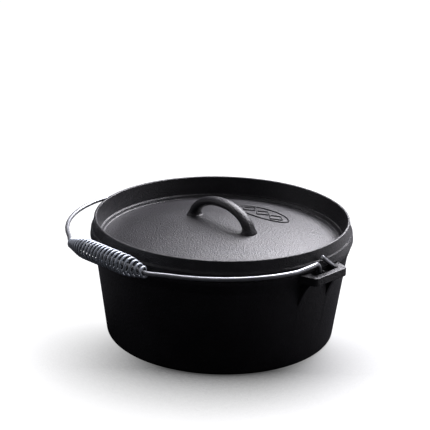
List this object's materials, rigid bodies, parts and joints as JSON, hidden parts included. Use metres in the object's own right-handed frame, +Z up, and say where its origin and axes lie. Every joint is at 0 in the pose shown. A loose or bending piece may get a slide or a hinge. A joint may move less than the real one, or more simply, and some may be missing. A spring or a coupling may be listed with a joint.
{
  "type": "cast iron dutch oven",
  "caption": "Round flat-bottomed cast iron dutch oven with a flanged lid that lifts off, two slotted ears and a swinging wire bail with a spring grip.",
  "frame": {"origin": "centre of the underside of the pot's flat base, on the surface it stands on", "axes": "+Z up; the two ears lie on +X and -X; the bail rests towards -Y"},
  "size_m": [0.3508, 0.3549, 0.1681],
  "materials": {
    "pot_iron": "seasoned black cast iron, fine sand-cast texture",
    "lid_iron": "seasoned black cast iron, fine sand-cast texture",
    "bail_steel": "drawn steel wire, satin bright",
    "grip_steel": "drawn spring wire, satin"
  },
  "bodies": {
    "pot": {"pot": "pot_iron"},
    "lid": {"lid": "lid_iron"},
    "bail": {"bail_wire": "bail_steel"},
    "grip": {"grip_coil": "grip_steel"}
  },
  "joints": [
    {"name": "lid_lift", "type": "slide", "parent": "pot", "child": "lid", "axis": [0, 0, 1], "range_m": [0, 0.06]},
    {"name": "bail_swing", "type": "hinge", "parent": "pot", "child": "bail", "pos_m": [0, 0, 0.1243], "axis": [-1, 0, 0], "range_deg": [0, 90]},
    {"name": "grip_spin", "type": "hinge", "parent": "bail", "child": "grip", "pos_m": [0, -0.1832, 0.13954], "axis": [1, 0, 0], "continuous": true}
  ]
}
